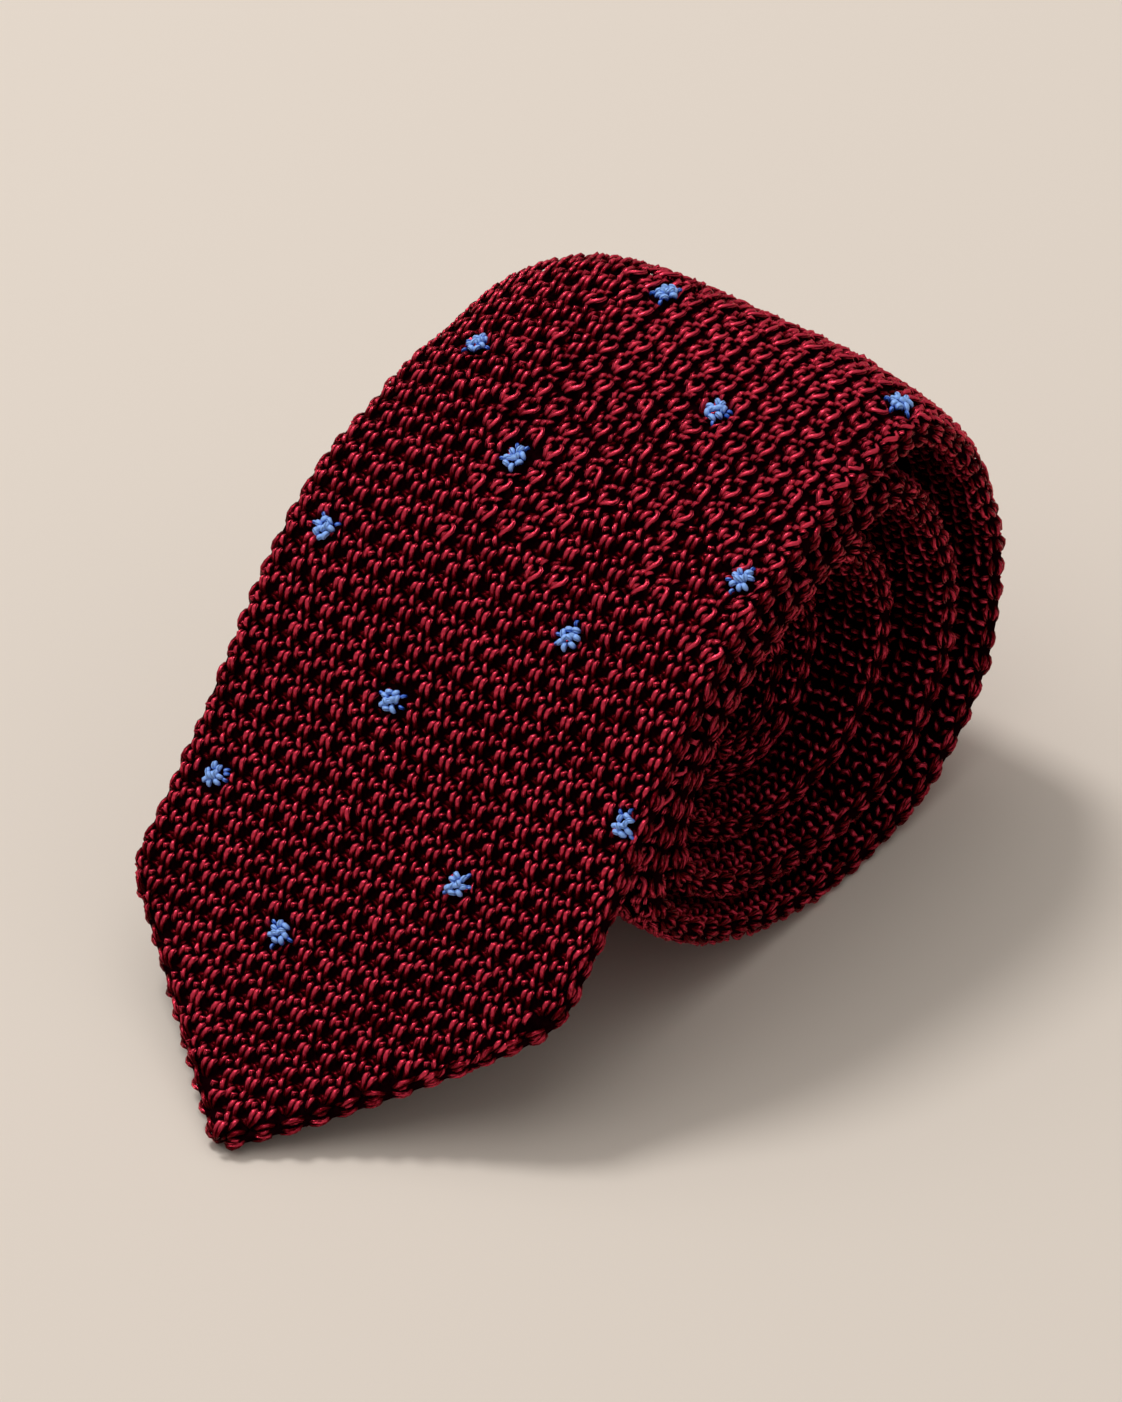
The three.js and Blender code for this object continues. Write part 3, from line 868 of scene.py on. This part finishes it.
# ---- spots ----
# A bean's rows: step along it as a share of its length, height and share of its radius
BEAN = (
    (-1.0, -0.75, 0.45), (-0.55, -0.10, 0.9), (0.0, 0.08, 1.0),
    (0.55, -0.08, 0.92), (1.0, -0.7, 0.5),
)
# Millimetres from the spot's middle, across and along, and how deep the spot sits in the face
RIM_BEANS = 7
RIM_ACROSS, RIM_ALONG = 1.02, 1.28
TOP_BEANS = ((-0.38, -0.3), (0.35, 0.32), (0.1, -0.05))
POINTED_ENDS = 3
END_ACROSS, END_ALONG = 1.65, 1.95
SPOT_SEAT = 0.1


def bean(middle, angle, length, lift, radius):
    # one plump loop of yarn: a short thick strand that rises and dives again
    rows = [(middle[0] + math.cos(angle) * step * length, middle[1] + math.sin(angle) * step * length,
             lift + rise, radius * share) for step, rise, share in BEAN]
    return rows, 5, 8


def spot_strands():
    # a ring of beans, three more on top of it, and three thin ends that stick out
    strands = []
    turned = rng.uniform(0, 1)
    for number in range(RIM_BEANS):
        angle = 2 * math.pi * (number + turned + rng.uniform(-0.18, 0.18)) / RIM_BEANS
        reach = rng.uniform(0.84, 1.02)
        middle = (RIM_ACROSS * reach * math.cos(angle), RIM_ALONG * reach * math.sin(angle))
        twist = angle + rng.choice((0.0, 0.3, -0.3, 1.2, -1.2)) + rng.uniform(-0.2, 0.2)
        length, lift = rng.uniform(0.44, 0.58), rng.uniform(0.0, 0.14)
        strands.append(bean(middle, twist, length, lift, rng.uniform(0.35, 0.41)))
    for middle in TOP_BEANS:
        twist = rng.uniform(0, math.pi)
        length, lift = rng.uniform(0.4, 0.5), rng.uniform(0.32, 0.42)
        strands.append(bean(middle, twist, length, lift, rng.uniform(0.33, 0.39)))
    for _ in range(POINTED_ENDS):
        angle = rng.uniform(0, 2 * math.pi)
        middle = (END_ACROSS * math.cos(angle), END_ALONG * math.sin(angle))
        strands.append(bean(middle, angle, 0.42, -0.25, 0.24))
    return strands


def lay_spots(name):
    vertices, faces, places, tints = [], [], [], []
    offset = 0
    for spot_along, spot_across in spot_places:
        shape, triangles, place, owner = strand_set(spot_strands())
        along, across = spot_along + shape[:, 1], spot_across + shape[:, 0]
        height = shape[:, 2] - SPOT_SEAT
        vertices.append(cloth_point(along, across, face_lift(along, across, height)))
        faces.append(triangles + offset)
        places.append(place + yarn_shift(3))
        # painted light by height on the beads, near black between them as painted shade, with a random
        # tone for each bean
        tints.append(painted_depth_light(height) + rng.normal(0, 0.05, owner.max() + 1)[owner])
        offset += len(shape)
    return finish_mesh(name, to_metres(np.concatenate(vertices)), np.concatenate(faces),
                       np.concatenate(places), np.concatenate(tints), SPOT_BLUE)


spots_piece = lay_spots("spots")


# ---- the tube's inside, painted near black as shade between the strands ----
# millimetres inside the cloth's edge and under its face, and the least half sizes of the tube
TUBE_INSET = 0.2
TUBE_DEPTH = -1.35
TUBE_HALF_LEAST = 0.6
TUBE_WIDTH_LEAST = 0.4
# distance of the first ring from the point, degrees of turn between rings, and columns across
TUBE_START = 1.2
TUBE_STEP = 5
TUBE_ACROSS = np.array([-1, -0.9, -0.75, -0.5, -0.25, 0, 0.25, 0.5, 0.75, 0.9, 1])


def ground_sheet(name):
    # a ring of points round the cloth at each place along it, closed at both ends
    columns = len(TUBE_ACROSS)
    turned = np.arange(TUBE_STEP, turn_samples[-1] * 360, TUBE_STEP) / 360
    along = np.concatenate([
        np.linspace(TUBE_START, TAIL_LENGTH, 30),
        TAIL_LENGTH + np.interp(turned, turn_samples, arc),
    ])
    left, right = half_widths(along)
    rings = []
    for k in range(len(along)):
        low = -max(left[k] - TUBE_INSET, TUBE_WIDTH_LEAST)
        high = max(right[k] - TUBE_INSET, TUBE_WIDTH_LEAST)
        across = low + (high - low) * (TUBE_ACROSS + 1) / 2
        place = np.full(columns, along[k])
        lift = np.maximum(face_lift(place, across, TUBE_DEPTH), TUBE_HALF_LEAST)
        top = cloth_point(place, across, lift)
        bottom = cloth_point(place, across[::-1], -lift[::-1])
        rings.append(np.concatenate([top, bottom]))
    count = 2 * columns
    faces = []
    for ring in range(len(rings) - 1):
        a = ring * count + np.arange(count)
        b = ring * count + (np.arange(count) + 1) % count
        faces.append(np.stack([a, b, b + count, a + count], -1))
    last = columns - 1
    start = np.array([[last - k, last - 1 - k, last + 2 + k, last + 1 + k] for k in range(last)])
    end = (len(rings) - 1) * count + start[:, ::-1]
    faces += [start[:, ::-1], end[:, ::-1]]
    return finish_mesh(name, to_metres(np.concatenate(rings)), np.concatenate(faces), None, None,
                       SHADE)


ground = ground_sheet("knitted_tube_in_painted_shade")
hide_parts("front_blade", "neckband", "back_blade")
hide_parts(*[f"spot_{number:02d}" for number in range(1, len(SPOTS) + 1)])

# ---- stage, light and camera ----
FLOOR_REACH = 3
floor_mesh = bpy.data.meshes.new("floor")
floor_corners = [(-FLOOR_REACH, -FLOOR_REACH, 0), (FLOOR_REACH, -FLOOR_REACH, 0),
                 (FLOOR_REACH, FLOOR_REACH, 0), (-FLOOR_REACH, FLOOR_REACH, 0)]
floor_mesh.from_pydata(floor_corners, [], [(0, 1, 2, 3)])
floor_mesh.materials.append(plain_paper("pale_seamless_paper", "#dcd3c9"))
floor = bpy.data.objects.new("floor", floor_mesh)
bpy.context.scene.collection.objects.link(floor)

CAMERA_ELEVATION = math.radians(39.06)
CAMERA_AZIMUTH = math.radians(36.43)
CAMERA_DISTANCE = 2.271
CAMERA_TARGET = Vector((0.02158, -0.04530 + SHIFT_Y * MM, 0.05495))
FOCAL_PIXELS = 18451
IMAGE_HEIGHT = 1402
to_camera = Vector((
    math.sin(CAMERA_AZIMUTH) * math.cos(CAMERA_ELEVATION),
    -math.cos(CAMERA_AZIMUTH) * math.cos(CAMERA_ELEVATION),
    math.sin(CAMERA_ELEVATION),
))


def area_light(name, towards, distance, size, power, colour):
    lamp = bpy.data.lights.new(name, "AREA")
    lamp.shape = "DISK"
    lamp.size = size
    lamp.energy = power
    lamp.color = colour
    thing = bpy.data.objects.new(name, lamp)
    direction = Vector(towards).normalized()
    thing.location = direction * distance
    thing.rotation_euler = direction.to_track_quat("Z", "Y").to_euler()
    bpy.context.scene.collection.objects.link(thing)


# a small key gives the yarn its narrow glints, and a wide soft light fills the rest
WARM_WHITE = (1.0, 0.98, 0.96)
area_light("key", towards=(-0.42, 0.08, 0.90), distance=1.6, size=0.38, power=11, colour=WARM_WHITE)
area_light("soft_top", towards=(-0.25, -0.10, 1.0), distance=1.8, size=2.8, power=15,
           colour=WARM_WHITE)

bpy.context.scene.view_settings.view_transform = "Standard"
world = bpy.data.worlds.new("studio")
world.use_nodes = True
background = world.node_tree.nodes["Background"]
background.inputs["Color"].default_value = linear("#f2ece6")
background.inputs["Strength"].default_value = 0.40
bpy.context.scene.world = world

camera = bpy.data.cameras.new("camera")
camera.sensor_fit = "VERTICAL"
camera.sensor_height = 36.0
camera.lens = FOCAL_PIXELS / IMAGE_HEIGHT * camera.sensor_height
camera.clip_end = 10
viewer = bpy.data.objects.new("camera", camera)
viewer.location = CAMERA_TARGET + to_camera * CAMERA_DISTANCE
viewer.rotation_euler = to_camera.to_track_quat("Z", "Y").to_euler()
bpy.context.scene.collection.objects.link(viewer)
bpy.context.scene.camera = viewer
